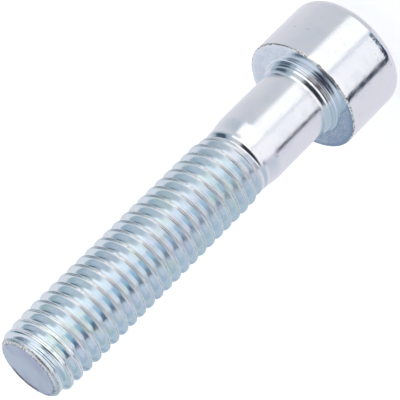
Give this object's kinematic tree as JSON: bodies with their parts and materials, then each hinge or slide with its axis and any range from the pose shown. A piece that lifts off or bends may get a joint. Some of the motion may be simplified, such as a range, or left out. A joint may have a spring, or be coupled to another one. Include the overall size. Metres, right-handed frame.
{
  "type": "hex socket cap screw",
  "caption": "Zinc-plated cap screw with a round hex-socket head, a plain shank and a partly threaded stem with a flat chamfered tip.",
  "frame": {"origin": "centre of the flat top of the head, which the screw stands on", "axes": "+Z along the screw's axis, from the head to the tip; +X through a corner of the hexagon"},
  "size_m": [0.0128, 0.0128, 0.0478],
  "materials": {
    "zinc_steel": "bright zinc plating with a clear bluish passivation"
  },
  "bodies": {
    "root": {"cap_screw": "zinc_steel"}
  },
  "joints": []
}
